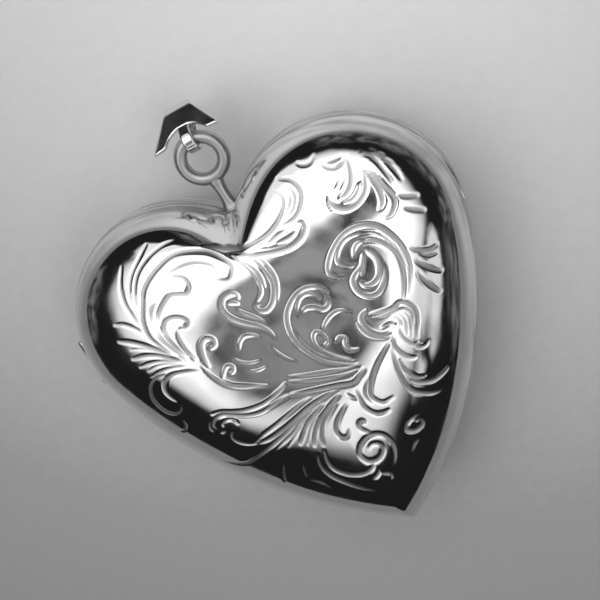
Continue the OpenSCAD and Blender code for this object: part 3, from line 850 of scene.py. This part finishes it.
sheet_edge = frame_in + sheet_play
window_z = frame_z + lip_thickness
card_z = window_z + window_thickness
for name, material, low, high, node, slot in (
        ("window_sheet", window, window_z, card_z - air_gap, "photo_window", "clear_sheet"),
        ("blank_card", paper, card_z, card_z + card_thickness, "photo_card", "card")):
    rims = heart_band(np.array([(sheet_edge, high), (sheet_edge, low)]))
    number = np.arange(rims.size // 3).reshape(rims.shape[:2])
    sides = grid_quads(joined(number)).tolist()
    add_piece(name, rims.reshape(-1, 3), [*sides, number[0, ::-1].tolist(), number[1].tolist()],
              material, "lid", node)

# Table and light
# The box lies on a sheet of paper under a broad white ceiling and two white panels, between dark
# walls with pale curtains along two of them. A pool of light is painted on the paper: its colour is
# pale around the box and turns darker grey further out. The camera on its arm and a black cloth
# beside it show as grey shapes in the silver.
table_half, table_drop = 6, 0.01 * millimetre
table_mesh = bpy.data.meshes.new("table")
corners = table_half * np.array([[-1, -1, 0], [1, -1, 0], [1, 1, 0], [-1, 1, 0]])
table_mesh.from_pydata(corners - [0, 0, table_drop], [], [[0, 1, 2, 3]])
table = bpy.data.objects.new("table", table_mesh)
bpy.context.scene.collection.objects.link(table)
paper_with_painted_light_pool, tree, shader = new_material("paper_with_painted_light_pool")
table_mesh.materials.append(paper_with_painted_light_pool)
shader.inputs["Roughness"].default_value = 0.8
shader.inputs["Specular IOR Level"].default_value = 0.2
place = new_node(tree, "TexCoord").outputs["Object"]
# Painted light: the paper's colour is a pool of light, pale near the box and dark grey far off, with real
# fibres mixed in
painted_light_middle, painted_light_reach = (0.026, 0.043, 0), 0.13
painted_pool_mapping = new_node(tree, "Mapping", Vector=place, Location=painted_light_middle, Scale=[painted_light_reach] * 3)
painted_pool_mapping.vector_type = "TEXTURE"
away = new_node(tree, "VectorMath", painted_pool_mapping.outputs["Vector"])
away.operation = "LENGTH"
fibres = calculate(tree, "MULTIPLY", noise(tree, place, 900, 5, 0.6), 0.06)
painted_falloff_with_fibres = calculate(tree, "ADD", away.outputs["Value"], fibres)
painted_light_greys = ((0.22, 0.95), (0.42, 0.68), (0.6, 0.4), (0.8, 0.3))
paper_grey_with_painted_light = toned(tree, painted_falloff_with_fibres, *((position, [level] * 3) for position, level in painted_light_greys))
tree.links.new(paper_grey_with_painted_light, shader.inputs["Base Color"])

ceiling_axis = (-0.06, 0.14, 0.988)
ceiling_edge, ceiling_fall = np.radians([55, 48]), np.radians([56, 14])
ceiling_light, wall_light, curtain_light = 2, 0.012, 0.17
panels = (((0.457, -0.585, 0.669), np.radians([17, 11]), 0.75),
          ((-0.262, 0.72, 0.643), np.radians([20, 14]), 0.9))
curtains = (((0.97, 0.24, 0), 0.2, 0.5), ((-0.93, 0.37, 0), 0.9, 0.97))
endless = 1000
world = bpy.data.worlds.new("studio")
bpy.context.scene.world = world
world.use_nodes = True
tree = world.node_tree
direction = new_node(tree, "TexCoord").outputs["Generated"]
ragged = noise(tree, direction, 2.5, 3)
wander = calculate(tree, "MULTIPLY", calculate(tree, "SUBTRACT", ragged, 0.5), 0.16)
mottled_dark = remap(tree, noise(tree, direction, 6, 4, 0.6), 0.4, 0.62, 0.02, 0.16)


def share_toward(axis):
    """How far each direction points along an axis, from minus one to one."""
    facing = new_node(tree, "VectorMath", direction)
    facing.operation = "DOT_PRODUCT"
    facing.inputs[1].default_value = axis
    return facing.outputs["Value"]


def toward(axis, edges):
    """Mask of the directions around an axis, from one at the inner edge to nothing at the outer one,
    with an edge that wanders a little."""
    return remap(tree, calculate(tree, "ADD", share_toward(axis), wander), *np.cos(edges), 0, 1)


def dimmed_by(x, y, turn, length, width):
    """Dimming by something that hangs under the ceiling: an ellipse in the plan of directions, dark
    and mottled inside, with a ragged edge."""
    inside = new_node(tree, "Mapping", Vector=direction, Location=(x, y, 0), Rotation=(0, 0, turn),
                      Scale=(length, width, endless))
    inside.vector_type = "TEXTURE"
    reach = new_node(tree, "VectorMath", inside.outputs["Vector"])
    reach.operation = "LENGTH"
    edge = calculate(tree, "ADD", reach.outputs["Value"], calculate(tree, "MULTIPLY", ragged, 0.6))
    return remap(tree, edge, 1, 1.5, mottled_dark, 1)


ceiling = calculate(tree, "MULTIPLY", toward(ceiling_axis, ceiling_edge),
                    remap(tree, share_toward(ceiling_axis), *np.cos(ceiling_fall), 0.45, ceiling_light))
ceiling = calculate(tree, "MULTIPLY", ceiling, remap(tree, share_toward((1, 0, 0)), 0.55, 0.8, 1, 0.4))
room = calculate(tree, "MAXIMUM", ceiling, wall_light)
for axis, edge, light in panels:
    room = calculate(tree, "MAXIMUM", room, calculate(tree, "MULTIPLY", toward(axis, edge), light))
folds = noise(tree, direction, 8, 4)
low = calculate(tree, "MULTIPLY", remap(tree, share_toward((0, 0, 1)), 0.45, 0.2, 0, curtain_light),
                remap(tree, folds, 0.38, 0.62, 0.15, 1))
for axis, start, end in curtains:
    curtain = calculate(tree, "MULTIPLY", low, remap(tree, share_toward(axis), start, end, 0, 1))
    room = calculate(tree, "MAXIMUM", room, curtain)
black_cloth = dimmed_by(-0.15, -0.21, np.radians(20), 0.38, 0.29)
camera_arm = dimmed_by(0.22, 0.07, np.radians(25), 0.28, 0.13)
shade = calculate(tree, "MINIMUM", black_cloth, camera_arm)
tree.links.new(calculate(tree, "MULTIPLY", room, shade), tree.nodes["Background"].inputs["Strength"])
tree.nodes["Background"].inputs["Color"].default_value = (1, 1, 1, 1)

# Camera
# Above the heart's right lobe, looking down at it, turned so that the tip points down and right, and
# aimed so that the target falls on its place in the picture.
camera_tilt, camera_side, camera_roll = np.radians([23.7, 47.0, -31.7])
camera_distance, pixels_per_mm = 130, 12.17
picture_pixels = 600
target = np.array([0, -3, seam_z])
target_pixel = np.array([313.6, 342.8])
back = np.array([np.sin(camera_tilt) * np.cos(camera_side), np.sin(camera_tilt) * np.sin(camera_side),
                 np.cos(camera_tilt)])
plain_right = np.cross([0, 1, 0], back)
plain_right /= np.linalg.norm(plain_right)
plain_up = np.cross(back, plain_right)
right = np.cos(camera_roll) * plain_right + np.sin(camera_roll) * plain_up
up = np.cos(camera_roll) * plain_up - np.sin(camera_roll) * plain_right
eye = target + camera_distance * back
off_x, off_y = (picture_pixels / 2 - target_pixel) / pixels_per_mm
back = eye - (target + off_x * right - off_y * up)
back /= np.linalg.norm(back)
right = np.cross(up, back)
right /= np.linalg.norm(right)
up = np.cross(back, right)
camera_data = bpy.data.cameras.new("camera")
camera_data.sensor_width = 36
camera_data.lens = pixels_per_mm * camera_distance / picture_pixels * camera_data.sensor_width
camera_data.clip_start = 0.005
camera = bpy.data.objects.new("camera", camera_data)
bpy.context.scene.collection.objects.link(camera)
turned_to = np.stack([right, up, back, eye * millimetre], axis=1)
camera.matrix_world = Matrix([*turned_to.tolist(), [0, 0, 0, 1]])
bpy.context.scene.camera = camera
bpy.context.scene.view_settings.view_transform = "Standard"
